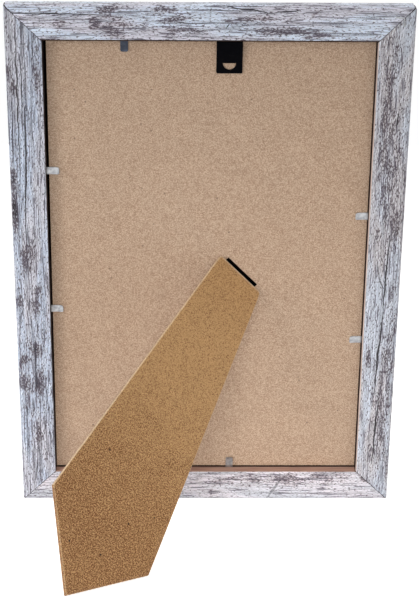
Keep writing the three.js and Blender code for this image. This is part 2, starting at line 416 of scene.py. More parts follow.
class NodeBoard:
    """Adds nodes to one tree and joins them from left to right."""

    def __init__(self, tree: bpy.types.NodeTree) -> None:
        """Start on an empty tree."""
        self.tree = tree
        self.tree.nodes.clear()

    def add(self, kind: str, inputs: Dict[Union[str, int], Value], **settings: object) -> bpy.types.Node:
        """Add a node.

        Args:
            kind: the node's type.
            inputs: for each input, a value or the socket that feeds it.
            settings: the node's own settings.

        Returns:
            The node.
        """
        node = self.tree.nodes.new(kind)
        for name, value in settings.items():
            setattr(node, name, value)
        for key, value in inputs.items():
            if isinstance(value, Socket):
                self.tree.links.new(value, node.inputs[key])
            else:
                node.inputs[key].default_value = value
        return node

    def math(self, operation: str, first: Value, second: Value = 0.0, clamp: bool = False) -> Socket:
        """Work out one number from two."""
        made = self.add("ShaderNodeMath", {0: first, 1: second}, operation=operation, use_clamp=clamp)
        return made.outputs[0]

    def plus(self, first: Value, second: Value) -> Socket:
        """Add two numbers."""
        return self.math("ADD", first, second)

    def minus(self, first: Value, second: Value) -> Socket:
        """Take one number from another."""
        return self.math("SUBTRACT", first, second)

    def times(self, first: Value, second: Value) -> Socket:
        """Multiply two numbers."""
        return self.math("MULTIPLY", first, second)

    def most(self, first: Value, second: Value) -> Socket:
        """Take the larger of two numbers."""
        return self.math("MAXIMUM", first, second)

    def centred(self, level: Value) -> Socket:
        """Shift a level of 0 to 1 so that its middle is zero."""
        return self.minus(level, 0.5)

    def vector(self, operation: str, first: Value, second: Value, result: str = "Vector") -> Socket:
        """Work out a vector, or the number that Value names, from two vectors."""
        return self.add("ShaderNodeVectorMath", {0: first, 1: second}, operation=operation).outputs[result]

    def scale(self, place: Value, factors: Sequence[float]) -> Socket:
        """Stretch a place along each axis."""
        return self.vector("MULTIPLY", place, factors)

    def shift(self, place: Value, step: Value) -> Socket:
        """Move a place by a step."""
        return self.vector("ADD", place, step)

    def noise(self, place: Value, grain: Sequence[float], detail: float = 2, rough: float = 0.5) -> Socket:
        """Read a soft noise.

        Args:
            place: where it is read, in millimetres.
            grain: waves per millimetre along each axis.
            detail: number of finer layers.
            rough: weight of the finer layers.

        Returns:
            The noise, about 0 to 1.
        """
        inputs = {"Vector": self.scale(place, grain), "Scale": 1, "Detail": detail, "Roughness": rough}
        return self.add("ShaderNodeTexNoise", inputs).outputs[0]

    def rise(self, level: Value, low: float, high: float) -> Socket:
        """Turn a level into a mask that rises smoothly from 0 at low to 1 at high."""
        inputs = {"Value": level, "From Min": low, "From Max": high}
        return self.add("ShaderNodeMapRange", inputs, interpolation_type="SMOOTHSTEP").outputs[0]

    def span(self, share: Value, low: float, high: float) -> Socket:
        """Turn a share into a value that goes from low at 0 to high at 1."""
        return self.add("ShaderNodeMapRange", {"Value": share, "To Min": low, "To Max": high}).outputs[0]

    def mix(self, share: Value, first: Value, second: Value) -> Socket:
        """Mix two colours, with the share held between 0 and 1."""
        return self.add("ShaderNodeMix", {0: share, 6: first, 7: second}, data_type="RGBA").outputs[2]

    def shade(self, colour: Value, level: Value) -> Socket:
        """Multiply a colour by a level."""
        return self.add("ShaderNodeVectorMath", {0: colour, 3: level}, operation="SCALE").outputs[0]

    def cover(self, colour: Value, layers: Sequence[Tuple[Value, float, Value]]) -> Value:
        """Lay colours over a colour, one after another.

        Args:
            colour: what lies below.
            layers: for each layer its mask, how much of the mask covers, and its colour.

        Returns:
            The colour on top.
        """
        for mask, share, over in layers:
            colour = self.mix(self.times(mask, share), colour, over)
        return colour

    def bump(self, height: Value, depth: float) -> Socket:
        """Turn a relief of a depth in millimetres into a normal."""
        inputs = {"Height": height, "Strength": 1.0, "Distance": depth * MM}
        return self.add("ShaderNodeBump", inputs).outputs[0]


FLOAT = "NodeSocketFloat"
VECTOR = "NodeSocketVector"
COLOUR = "NodeSocketColor"
SURFACE = {"Colour": COLOUR, "Roughness": FLOAT, "Height": FLOAT}


class Group:
    """A shader node group with named inputs and outputs."""

    def __init__(self, name: str, inputs: Dict[str, str], outputs: Dict[str, str]) -> None:
        """Make the group's tree and sockets.

        Args:
            name: the group's name.
            inputs: for each input, its socket type.
            outputs: for each output, its socket type.
        """
        self.tree = bpy.data.node_groups.new(name, "ShaderNodeTree")
        for way, sockets in (("INPUT", inputs), ("OUTPUT", outputs)):
            for label, kind in sockets.items():
                self.tree.interface.new_socket(name=label, in_out=way, socket_type=kind)
        self.board = NodeBoard(self.tree)
        self.given = self.board.add("NodeGroupInput", {}).outputs

    def give(self, outputs: Dict[str, Value]) -> None:
        """Join the results to the group's outputs."""
        self.board.add("NodeGroupOutput", outputs)

    def place(self, board: NodeBoard, inputs: Dict[str, Value]) -> bpy.types.Node:
        """Place the group in a material's tree."""
        return board.add("ShaderNodeGroup", inputs, node_tree=self.tree)


@dataclass(frozen=True)
class Hairline:
    """A crack: a thin line between two points, which sways by some millimetres and thins to its ends."""

    waves: float = 0.11
    sway: float = 2.6
    end_share: float = 0.45
    core: float = 0.6

    def build(self) -> Group:
        """Build the crack's group.

        Returns:
            The group, which reads a place, the line's ends and its half width in millimetres.
        """
        sockets = {"Place": VECTOR, "Start": VECTOR, "End": VECTOR, "Width": FLOAT}
        group = Group("hairline", sockets, {"Crack": FLOAT})
        board, given = group.board, group.given
        start = given["Start"]
        noise = board.add("ShaderNodeTexNoise", {"Vector": given["Place"], "Scale": self.waves, "Detail": 3})
        loose = board.vector("SUBTRACT", noise.outputs["Color"], even(0.5))
        moved = board.shift(given["Place"], board.scale(loose, (self.sway, self.sway, 0)))
        flat = board.scale(moved, (1, 1, 0))
        run = board.vector("SUBTRACT", given["End"], start)
        reach = board.vector("SUBTRACT", flat, start)
        done = board.vector("DOT_PRODUCT", reach, run, "Value")
        whole = board.vector("DOT_PRODUCT", run, run, "Value")
        share = board.math("DIVIDE", done, whole, clamp=True)
        gap = board.vector("DISTANCE", flat, board.shift(start, board.shade(run, share)), "Value")
        off_middle = board.math("ABSOLUTE", board.centred(share))
        fade = board.minus(1.0, board.times(off_middle, 2.0))
        taper = board.times(given["Width"], board.plus(fade, self.end_share))
        crack = board.math("SUBTRACT", 1.0, board.math("DIVIDE", gap, taper), clamp=True)
        group.give({"Crack": board.rise(crack, 0.0, self.core)})
        return group


@dataclass(frozen=True)
class WornPaint:
    """Pale paint on wood, rubbed to dark speckles and lines along the grain.

    A grain is in waves per millimetre with x along the wood, and a band is where a mask rises from 0 to 1.
    """

    sway_grain: Triple = (0.012, 0.03, 0.03)
    sway: float = 6.0
    wear_weight: float = 1.35
    patch_grain: Triple = (0.08, 0.26, 0.26)
    dense_band: Band = (0.51, 0.74)
    deep_band: Band = (0.78, 0.94)
    deep_grit: Band = (0.42, 0.5)
    grit_grain: Triple = (0.5, 1.25, 1.25)
    grit_rough: float = 0.6
    glint_step: Triple = (0.3, 0.75, 0)
    glint_band: Band = (0.06, 0.2)
    dots_bias: float = 0.14
    dots_band: Band = (0.58, 0.625)
    dash_grain: Triple = (0.07, 1.2, 1.2)
    dash_bias: float = 0.05
    dash_band: Band = (0.55, 0.625)
    streak_grain: Triple = (0.011, 0.5, 0.5)
    streak_tone: float = 0.9
    line_grain: Triple = (0.0045, 0.42, 0.42)
    line_dots: float = 0.08
    line_band: Band = (0.006, 0.024)
    line_place: Triple = (0.018, 0.09, 0.09)
    line_share: Band = (0.34, 0.5)
    hue_grain: Triple = (0.013, 0.09, 0.09)
    hue_band: Band = (0.4, 0.6)
    roughness: Band = (0.5, 0.72)

    def build(self) -> Group:
        """Build the paint's group.

        Returns:
            The group, which reads a place in millimetres. Wear bares the wood and adds dark speckles, Lines
            adds long dark lines, and Crack is the mask of the rail's cracks.
        """
        sockets = {"Place": VECTOR, "Wear": FLOAT, "Lines": FLOAT, "Crack": FLOAT}
        colours = {"Paint": COLOUR, "Faded": COLOUR, "Bare": COLOUR}
        group = Group("worn_paint", {**sockets, **colours}, SURFACE)
        board, given = group.board, group.given
        place, crack = given["Place"], given["Crack"]
        sway = board.times(board.centred(board.noise(place, self.sway_grain)), self.sway)
        bent = board.shift(place, board.add("ShaderNodeCombineXYZ", {"Y": sway, "Z": sway}).outputs[0])

        wear = board.times(given["Wear"], self.wear_weight)
        patch = board.plus(board.noise(bent, self.patch_grain, detail=5, rough=0.75), wear)
        dense = board.rise(patch, *self.dense_band)
        grit = board.noise(place, self.grit_grain, rough=self.grit_rough)
        grit_below = board.noise(board.shift(place, self.glint_step), self.grit_grain, rough=self.grit_rough)
        # Painted highlight: a pale glint where the grit a step along is higher, as if raised paint caught the
        # light.
        painted_glint = board.rise(board.minus(grit_below, grit), *self.glint_band)
        dots = board.rise(board.plus(grit, board.times(dense, self.dots_bias)), *self.dots_band)
        dash_field = board.noise(bent, self.dash_grain)
        dash = board.rise(board.plus(dash_field, board.times(dense, self.dash_bias)), *self.dash_band)
        deep = board.times(board.rise(patch, *self.deep_band), board.rise(grit, *self.deep_grit))

        line_gap = board.math("ABSOLUTE", board.centred(board.noise(bent, self.line_grain)))
        dotted_gap = board.plus(line_gap, board.times(board.centred(grit), self.line_dots))
        line = board.minus(1.0, board.rise(dotted_gap, *self.line_band))
        line = board.times(line, board.rise(board.noise(place, self.line_place), *self.line_share))
        line = board.times(line, given["Lines"])

        hue = board.rise(board.noise(place, self.hue_grain), *self.hue_band)
        streak = board.centred(board.noise(bent, self.streak_grain, detail=4, rough=0.65))
        tone = board.plus(board.times(streak, self.streak_tone), 1.0)
        painted = board.shade(board.mix(hue, given["Paint"], given["Faded"]), tone)
        layers = (
            (painted_glint, 0.7, tint(240, 243, 250)),
            (dense, 0.4, given["Bare"]),
            (dots, 0.85, tint(74, 58, 66)),
            (dash, 0.75, tint(84, 76, 90)),
            (line, 1.0, tint(54, 50, 64)),
            (deep, 0.9, tint(36, 32, 38)),
            (crack, 1.0, tint(44, 40, 46)),
        )
        sunk = board.plus(dots, board.plus(line, board.plus(deep, crack)))
        group.give({
            "Colour": board.cover(painted, layers),
            "Roughness": board.span(dots, *self.roughness),
            "Height": board.minus(1.0, sunk),
        })
        return group


@dataclass(frozen=True)
class PressedFibre:
    """Pressed fibreboard: fine crossing fibres, mottling, and flecks, chips and specks of bark.

    A grain is in waves per millimetre, and a band is where a mask rises from 0 to 1.
    """

    thread_turns: Triple = (24, -38, 83)
    thread_grain: Triple = (0.42, 1.2, 1.2)
    thread_band: Band = (0.56, 0.70)
    mottle_grain: float = 0.05
    mottle_tone: float = 0.35
    fine_grain: float = 1.25
    fine_tone: float = 7.5
    cluster_grain: float = 0.045
    cluster_band: Band = (0.42, 0.62)
    least_cluster: float = 0.6
    fleck_offset: Triple = (71, 23, 9)
    fleck_grain: float = 1.1
    fleck_bias: float = 0.024
    fleck_band: Band = (0.53, 0.62)
    chip_offset: Triple = (13, 57, 31)
    chip_grain: Triple = (0.6, 0.9, 0.6)
    chip_band: Band = (0.58, 0.68)
    speck_grain: float = 0.13
    speck_choice: Band = (0.74, 0.8)
    speck_size: Band = (0.05, 0.12)
    speck_colour: Colour = tint(52, 28, 16)
    fine_range: float = 0.3
    roughness: Band = (0.52, 0.7)

    def build(self) -> Group:
        """Build the board's group.

        Returns:
            The group, which reads a place in millimetres. Flecks adds bark, and Contrast the fibres.
        """
        sockets = {"Place": VECTOR, "Flecks": FLOAT, "Contrast": FLOAT}
        colours = {"Board": COLOUR, "Fibre": COLOUR, "Bark": COLOUR}
        group = Group("pressed_fibre", {**sockets, **colours}, SURFACE)
        board, given = group.board, group.given
        place, flecks, contrast = given["Place"], given["Flecks"], given["Contrast"]
        threads: Value = 0.0
        for turn in self.thread_turns:
            turned = {"Vector": place, "Rotation": (0, 0, math.radians(turn))}
            spot = board.add("ShaderNodeMapping", turned).outputs[0]
            threads = board.most(board.noise(spot, self.thread_grain, detail=1), threads)
        mottle = board.centred(board.noise(place, even(self.mottle_grain), detail=4, rough=0.6))
        fine = board.centred(board.noise(place, even(self.fine_grain), detail=3, rough=0.75))
        drift = board.times(board.times(mottle, self.mottle_tone), contrast)
        grain = board.times(board.times(fine, self.fine_tone), contrast)
        thread_mask = board.times(board.rise(threads, *self.thread_band), contrast)

        cluster = board.rise(board.noise(place, even(self.cluster_grain), detail=3), *self.cluster_band)
        fleck_place = board.shift(place, self.fleck_offset)
        fleck_field = board.noise(fleck_place, even(self.fleck_grain), detail=3, rough=0.75)
        fleck_field = board.plus(fleck_field, board.times(flecks, self.fleck_bias))
        gathered = board.most(cluster, self.least_cluster)
        fleck = board.times(board.rise(fleck_field, *self.fleck_band), gathered)
        chip_place = board.shift(place, self.chip_offset)
        chip = board.rise(board.noise(chip_place, self.chip_grain, detail=4, rough=0.8), *self.chip_band)
        cells = board.scale(place, even(self.speck_grain))
        grit = board.add("ShaderNodeTexVoronoi", {"Vector": cells, "Scale": 1}).outputs
        lot = board.add("ShaderNodeSeparateColor", {0: grit["Color"]}).outputs[0]
        chosen = board.times(board.rise(lot, *self.speck_choice), flecks)
        dot = board.minus(1.0, board.rise(grit["Distance"], *self.speck_size))
        speck = board.times(board.math("MULTIPLY", dot, chosen, clamp=True), contrast)

        layers = (
            (grain, 1.0, given["Fibre"]),
            (grain, -1.0, given["Bark"]),
            (thread_mask, 0.3, given["Fibre"]),
            (board.times(fleck, flecks), 1.0, given["Bark"]),
            (board.times(chip, flecks), 0.4, given["Bark"]),
            (speck, 1.0, self.speck_colour),
        )
        limits = {"From Min": -self.fine_range, "From Max": self.fine_range}
        ends = {"To Min": self.roughness[0], "To Max": self.roughness[1]}
        group.give({
            "Colour": board.cover(board.shade(given["Board"], board.plus(drift, 1.0)), layers),
            "Roughness": board.add("ShaderNodeMapRange", {"Value": fine, **limits, **ends}).outputs[0],
            "Height": board.plus(threads, fine),
        })
        return group


@dataclass(frozen=True)
class HandledSteel:
    """The marks on thin steel: soft smudges and fine scratches, with grains in waves per millimetre."""

    smudge_grain: float = 0.35
    smudge_band: Band = (0.35, 0.65)
    scratch_grain: Triple = (0.5, 6.0, 6.0)
    scratch_band: Band = (0.58, 0.7)

    def build(self) -> Group:
        """Build the marks' group.

        Returns:
            The group, which reads a place in millimetres.
        """
        group = Group("handled_steel", {"Place": VECTOR}, {"Smudge": FLOAT, "Scratch": FLOAT})
        board, place = group.board, group.given["Place"]
        smudge = board.noise(place, even(self.smudge_grain), detail=4, rough=0.6)
        lines = board.noise(place, self.scratch_grain, detail=3, rough=0.7)
        group.give({
            "Smudge": board.rise(smudge, *self.smudge_band),
            "Scratch": board.rise(lines, *self.scratch_band),
        })
        return group


class Marks:
    """The effects that more than one finish uses, each built once."""

    hairline = Hairline().build()
    worn_paint = WornPaint().build()
    pressed_fibre = PressedFibre().build()
    handled_steel = HandledSteel().build()


@dataclass(frozen=True)
class Finish(ABC):
    """What every finish has: a name, the record's slot and a material in the piece's own axes."""

    name: str
    slot: str

    @abstractmethod
    def surface(self, board: NodeBoard, place: Socket) -> Dict[str, Value]:
        """Draw the finish.

        Args:
            board: the material's node board.
            place: the place on the piece, in millimetres.

        Returns:
            What feeds the shader.
        """

    def material(self, axes: Axes) -> bpy.types.Material:
        """Make the finish's material.

        Args:
            axes: the axes that its pattern follows.

        Returns:
            The material.
        """
        material = bpy.data.materials.new(self.name)
        material.use_nodes = True
        board = NodeBoard(material.node_tree)
        to_own = axes.bench_matrix().inverted()
        mapping = board.add(
            "ShaderNodeMapping",
            {
                "Vector": board.add("ShaderNodeTexCoord", {}).outputs["Object"],
                "Location": to_own.to_translation(),
                "Rotation": to_own.to_euler("XYZ"),
                "Scale": to_own.to_scale(),
            },
        )
        shader = board.add("ShaderNodeBsdfPrincipled", self.surface(board, mapping.outputs[0]))
        board.add("ShaderNodeOutputMaterial", {"Surface": shader.outputs[0]})
        return material


@dataclass(frozen=True)
class WornPatch:
    """A stretch of a rail where more paint, or less, is gone. Places are in millimetres on the rail."""

    along: float
    across: float
    length: float
    width: float
    amount: float

    def at(self, point: Vector) -> float:
        """Give the wear that this patch adds at a point."""
        far = ((point.x - self.along) / self.length) ** 2 + ((point.y - self.across) / self.width) ** 2
        return self.amount * math.exp(-far)


@dataclass(frozen=True)
class Crack:
    """A crack in a rail's paint, with its ends and half its width in millimetres on the rail."""

    start: Tuple[float, float]
    end: Tuple[float, float]
    width: float
    depth: float = 1.0


@dataclass(frozen=True, kw_only=True)
class RailPaint(Finish):
    """Pale paint on one rail, worn along the grain, which lies along x."""

    slot: str = "rail_finish"
    paint: Colour
    faded: Colour
    bare: Colour
    lines: float
    patches: Tuple[WornPatch, ...]
    cracks: Tuple[Crack, ...]
    specular: float = 0.35
    relief: float = 0.1

    def wear_at(self, point: Vector) -> float:
        """Add up the wear of all patches at a point on the rail."""
        return sum(patch.at(point) for patch in self.patches)

    def surface(self, board: NodeBoard, place: Socket) -> Dict[str, Value]:
        """Draw the paint, its wear and its cracks.

        Args:
            board: the material's node board.
            place: the place on the rail, in millimetres.

        Returns:
            What feeds the shader.
        """
        cracked: Value = 0.0
        for crack in self.cracks:
            ends = {"Start": (*crack.start, 0), "End": (*crack.end, 0), "Width": crack.width}
            line = Marks.hairline.place(board, {"Place": place, **ends}).outputs["Crack"]
            cracked = board.most(board.times(line, crack.depth), cracked)
        # Each rail reads another stretch of the pattern, so no two look alike.
        own_stretch = sum(map(ord, self.name))
        marks = Marks.worn_paint.place(
            board,
            {
                "Place": board.shift(place, (own_stretch, 0, 0)),
                "Wear": board.add("ShaderNodeAttribute", {}, attribute_name="wear").outputs["Fac"],
                "Lines": self.lines,
                "Crack": cracked,
                "Paint": self.paint,
                "Faded": self.faded,
                "Bare": self.bare,
            },
        ).outputs
        return {
            "Base Color": marks["Colour"],
            "Roughness": marks["Roughness"],
            "Specular IOR Level": self.specular,
            "Normal": board.bump(marks["Height"], self.relief),
        }


@dataclass(frozen=True)
class RailCore(Finish):
    """Bare brown rail where the paint stops: in the rabbet and on the mitres. Its default browns are far darker
    than the bare wood, as painted shade in the rabbet's gaps, and show as dark joints on the mitres.
    """

    name: str = "bare_rail_core"
    slot: str = "rail_finish"
    core: Colour = tint(58, 40, 35)
    shadowed: Colour = tint(36, 25, 22)
    grain: Triple = (0.05, 1.1, 1.1)
    band: Band = (0.35, 0.65)
    roughness: float = 0.8
    specular: float = 0.2
    relief: float = 0.15

    def surface(self, board: NodeBoard, place: Socket) -> Dict[str, Value]:
        """Draw the core, with its grain along the rail.

        Args:
            board: the material's node board.
            place: the place on the rail, in millimetres.

        Returns:
            What feeds the shader.
        """
        grain = board.noise(place, self.grain, detail=4, rough=0.6)
        return {
            "Base Color": board.mix(board.rise(grain, *self.band), self.shadowed, self.core),
            "Roughness": self.roughness,
            "Specular IOR Level": self.specular,
            "Normal": board.bump(grain, self.relief),
        }


@dataclass(frozen=True)
class Fibreboard(Finish):
    """Pressed fibreboard in one of its shades. Flecks may grow in number between two heights, in mm."""

    face: Colour = tint(187, 159, 135)
    fibre: Colour = tint(214, 190, 166)
    bark: Colour = tint(146, 114, 90)
    flecks: float = 0.6
    fleck_fall: Band = (0.0, 0.0)
    fineness: float = 1.12
    contrast: float = 0.9
    specular: float = 0.3
    relief: float = 0.05

    def surface(self, board: NodeBoard, place: Socket) -> Dict[str, Value]:
        """Draw the board's face.

        Args:
            board: the material's node board.
            place: the place on the board, in millimetres.

        Returns:
            What feeds the shader.
        """
        flecks: Value = self.flecks
        if any(self.fleck_fall):
            height = board.add("ShaderNodeSeparateXYZ", {0: place}).outputs["Y"]
            flecks = board.times(board.rise(height, *self.fleck_fall), self.flecks)
        marks = Marks.pressed_fibre.place(
            board,
            {
                "Place": board.scale(place, even(self.fineness)),
                "Board": self.face,
                "Fibre": self.fibre,
                "Bark": self.bark,
                "Flecks": flecks,
                "Contrast": self.contrast,
            },
        ).outputs
        return {
            "Base Color": marks["Colour"],
            "Roughness": marks["Roughness"],
            "Specular IOR Level": self.specular,
            "Normal": board.bump(marks["Height"], self.relief),
        }


@dataclass(frozen=True)
class Steel(Finish):
    """Thin sheet steel, bare or lacquered."""

    metal: Colour = tint(183, 184, 186)
    worn: Colour = tint(118, 120, 126)
    metallic: float = 1.0
    specular: float = 0.5
    roughness: Band = (0.34, 0.5)
    smudge_share: float = 0.6
    scratch_share: float = 0.4
    relief: float = 0.01

    def surface(self, board: NodeBoard, place: Socket) -> Dict[str, Value]:
        """Draw the steel with its smudges and scratches.

        Args:
            board: the material's node board.
            place: the place on the piece, in millimetres.

        Returns:
            What feeds the shader.
        """
        marks = Marks.handled_steel.place(board, {"Place": place}).outputs
        smudge = board.times(marks["Smudge"], self.smudge_share)
        share = board.plus(smudge, board.times(marks["Scratch"], self.scratch_share))
        return {
            "Base Color": board.mix(share, self.metal, self.worn),
            "Roughness": board.span(share, *self.roughness),
            "Metallic": self.metallic,
            "Specular IOR Level": self.specular,
            "Normal": board.bump(marks["Scratch"], self.relief),
        }


@dataclass(frozen=True)
class ClearGlass(Finish):
    """Clear float glass, with a breath of dust in its colour."""

    name: str = "clear_glass"
    slot: str = "clear_glass"
    body: Colour = (0.96, 0.985, 0.975, 1.0)
    dust: Colour = (0.88, 0.92, 0.91, 1.0)
    dust_grain: float = 0.03
    dust_band: Band = (0.5, 0.8)
    dust_share: float = 0.4
    roughness: float = 0.02
    ior: float = 1.5

    def surface(self, board: NodeBoard, place: Socket) -> Dict[str, Value]:
        """Draw the glass.

        Args:
            board: the material's node board.
            place: the place on the pane, in millimetres.

        Returns:
            What feeds the shader.
        """
        haze = board.rise(board.noise(place, even(self.dust_grain), detail=5, rough=0.6), *self.dust_band)
        return {
            "Base Color": board.mix(board.times(haze, self.dust_share), self.body, self.dust),
            "Roughness": self.roughness,
            "IOR": self.ior,
            "Transmission Weight": 1.0,
        }


class Finishes:
    """Every finish of the part."""

    paint = {
        Side.BOTTOM: RailPaint(
            "bottom_rail_paint",
            paint=tint(206, 207, 214),
            faded=tint(228, 222, 228),
            bare=tint(172, 146, 146),
            lines=0.4,
            patches=(
                WornPatch(20, 16, 42, 4.5, 0.15), WornPatch(62, 16.5, 30, 4.5, 0.13),
                WornPatch(90, 17.5, 18, 3, 0.12), WornPatch(4, 6, 3, 6, 0.22),
                WornPatch(60, 9, 3, 2.5, 0.24), WornPatch(108, 16, 3, 3, 0.25),
                WornPatch(60, 4, 60, 4, -0.12), WornPatch(0, 11, 200, 20, -0.06),
            ),
            cracks=(Crack((41.5, 0.5), (51, 15.5), 1.0, 0.5), Crack((30, 5.2), (70, 5.0), 0.3, 0.6)),
        ),
        Side.RIGHT: RailPaint(
            "right_rail_paint",
            paint=tint(196, 202, 214),
            faded=tint(194, 190, 194),
            bare=tint(142, 132, 130),
            lines=0.3,
            patches=(
                WornPatch(70, 9, 70, 8, 0.10), WornPatch(105, 15, 42, 2.6, 0.14),
                WornPatch(30, 4, 9, 2.5, 0.16), WornPatch(-110, 7, 45, 6, 0.12),
                WornPatch(-60, 5, 30, 4, 0.10), WornPatch(-62, 19, 6, 1.6, 0.22),
                WornPatch(-20, 15, 22, 5, -0.12), WornPatch(0, 21.5, 170, 1.3, -0.25),
                WornPatch(130, 5, 30, 4, -0.08),
            ),
            cracks=(
                Crack((-146, 11.6), (-88, 9.8), 0.55), Crack((-92, 12.8), (-30, 10.2), 0.6),
                Crack((-32, 10.3), (24, 8.4), 0.55), Crack((-14, 10.4), (-5, 14.5), 0.35),
                Crack((-5, 14.5), (6, 15.5), 0.3), Crack((98, 8), (108, 7.4), 0.45),
            ),
        ),
        Side.TOP: RailPaint(
            "top_rail_paint",
            paint=tint(220, 231, 248),
            faded=tint(216, 214, 226),
            bare=tint(156, 136, 140),
            lines=0.75,
            patches=(
                WornPatch(-62, 4.4, 3, 0.8, 0.30), WornPatch(-28, 8, 16, 1.6, 0.20),
                WornPatch(-45, 15.5, 22, 1.6, 0.22), WornPatch(-66, 19.5, 12, 1.3, 0.18),
                WornPatch(28, 2.5, 7, 1.4, 0.24), WornPatch(22, 8.8, 9, 1.3, 0.26),
                WornPatch(62, 3, 5, 2.5, 0.26), WornPatch(70, 10, 3, 3, 0.28),
                WornPatch(54, 10, 9, 3.5, 0.16), WornPatch(57, 17, 8, 4, 0.18),
                WornPatch(14, 15, 16, 2, 0.2), WornPatch(92, 10.5, 8, 2.5, 0.14),
                WornPatch(-90, 8, 30, 5, -0.12),
            ),
            cracks=(
                Crack((-54, 2.8), (-38, 4.4), 0.5), Crack((-38, 4.4), (-10, 0.8), 0.5),
                Crack((66, 5.7), (122, 5.0), 0.5), Crack((0, 10.9), (32, 10.7), 0.3),
                Crack((-12, 10.5), (-10, 13.5), 0.35),
            ),
        ),
        Side.LEFT: RailPaint(
            "left_rail_paint",
            paint=tint(190, 200, 218),
            faded=tint(200, 200, 210),
            bare=tint(132, 124, 126),
            lines=0.9,
            patches=(
                WornPatch(-41, 2.2, 10, 1.6, 0.55), WornPatch(-62, 2, 7, 1.8, 0.30),
                WornPatch(-133, 1.5, 4, 1.0, 0.30), WornPatch(-121, 4.5, 4, 3.5, 0.22),
                WornPatch(-86, 3.2, 5, 1.5, 0.24), WornPatch(-132, 19, 18, 1.6, 0.18),
                WornPatch(-12, 10, 6, 4, 0.26), WornPatch(-2, 8, 5, 4, 0.18),
                WornPatch(23, 3.5, 4, 3, 0.26), WornPatch(27, 13, 5, 2.5, 0.30),
                WornPatch(15, 15, 5, 1.5, 0.30), WornPatch(58, 12, 6, 4, 0.28),
                WornPatch(66, 4, 4, 3, 0.24), WornPatch(84, 13, 8, 4, 0.28),
                WornPatch(84, 4, 7, 3, 0.24), WornPatch(107, 10, 8, 1.2, 0.40),
                WornPatch(122, 12, 8, 3, 0.20), WornPatch(-100, 12, 50, 5, -0.10),
                WornPatch(-50, 17, 40, 3, -0.12),
            ),
            cracks=(
                Crack((-160, 6.9), (-70, 6.4), 0.4), Crack((-110, 11.2), (-20, 8.6), 0.5),
                Crack((-150, 9.4), (-90, 9.2), 0.35), Crack((142, 10.5), (158, 9.6), 0.4),
            ),
        ),
    }
    # The dark core is painted shade. Each side's inner edge wears: on top and left the same dark core, painted
    # shade; on the bottom a lighter copy, the core as lit, painted light; on the right a pale copy.
    core = RailCore()
    inner_edge = {
        Side.BOTTOM: RailCore("stained_edge", core=tint(176, 142, 126), shadowed=tint(150, 118, 104)),
        Side.RIGHT: RailCore("rubbed_edge", core=tint(214, 196, 186), shadowed=tint(188, 168, 158)),
        Side.TOP: core,
        Side.LEFT: core,
    }
    panel = Fibreboard("panel_fibreboard", "panel_board")
    # Painted shade: a near-black copy of the board for the slot's walls and floor and the panel's sloping left
    # edge, dark as the shade in the slot and in the gap beside the left rail.
    sawn_edge = Fibreboard(
        "panel_sawn_edge",
        "panel_board",
        face=tint(22, 15, 13),
        fibre=tint(30, 22, 19),
        bark=tint(12, 8, 7),
        contrast=0.2,
        specular=0.0,
    )
    leg = Fibreboard(
        "leg_fibreboard",
        "leg_board",
        face=tint(188, 146, 98),
        fibre=tint(198, 160, 112),
        bark=tint(106, 64, 30),
        flecks=2.6,
        # Flecks grow denser towards the foot: the board's own flecks, laid on thick enough that the darker foot is
        # also painted shade.
        fleck_fall=(-45.0, -225.0),
        fineness=1.15,
        contrast=1.0,
    )
    # The leg's pale cut edges: partly the board's paler cut fibre, partly painted highlight, as they go only where
    # light falls, on the edges that face up and on a band along the top of the outer face.
    cut_edge = Fibreboard(
        "leg_cut_edge",
        "leg_board",
        face=tint(206, 178, 142),
        fibre=tint(220, 198, 166),
        bark=tint(160, 124, 90),
        flecks=0.5,
    )
    paper = Fibreboard(
        "plain_paper",
        "plain_paper",
        face=tint(241, 238, 231),
        fibre=tint(248, 246, 240),
        bark=tint(226, 220, 208),
        flecks=0.12,
        contrast=0.08,
    )
    black_steel = Steel(
        "black_lacquered_steel",
        "black_steel",
        metal=tint(3, 3, 6),
        worn=tint(8, 8, 12),
        metallic=0.0,
        specular=0.02,
        roughness=(0.3, 0.46),
    )
    bright_steel = Steel("bright_spring_steel", "bright_steel")
    # A darker, bluish copy of the spring steel for the top tongue: painted shade under the top rail.
    dull_steel = Steel("blued_spring_steel", "bright_steel", metal=tint(62, 67, 77), worn=tint(46, 49, 57))
    glass = ClearGlass()


def dress(piece: bpy.types.Object, finish: Finish, *materials: bpy.types.Material) -> None:
    """Give a piece its materials.

    Args:
        piece: the object.
        finish: not used.
        materials: the materials, in the order of the faces' numbers.
    """
    for material in materials:
        piece.data.materials.append(material)


def seat(piece: bpy.types.Object, body: str, *nodes: str) -> None:
    """Let a piece move with a body, in the place of CAD nodes, and report it.

    Args:
        piece: the object.
        body: the body that carries it.
        nodes: the CAD nodes that it replaces.
    """
    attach(piece, body)
    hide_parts(*nodes)
    LOG.info("%s: %d faces, on %s", piece.name, len(piece.data.polygons), body)


def coat(node: str, material: bpy.types.Material) -> None:
    """Give a CAD node that stays its material, and report it.

    Args:
        node: the CAD node.
        material: what it wears.
    """
    worn = frame["nodes"][node].data.materials
    worn.clear()
    worn.append(material)
    LOG.info("%s: CAD node with %s", node, material.name)


@dataclass(frozen=True)
class MitreEnd:
    """State of one mitre in mm: its outer end's opening, its tip's blunting and its edges' easing."""

    opening: float
    blunt: float
    ease: float


@dataclass(frozen=True)
class InnerEdge:
    """A rail's inner edge at the back: its rounding, and how deep its own copy of the core goes, in mm. Deeper in
    the rabbet the dark core shows, as painted shade.
    """

    arris: float
    depth: float


class RailFace(IntEnum):
    """Which of a rail's materials a face wears."""

    PAINT = 0
    CORE = 1
    EDGE = 2


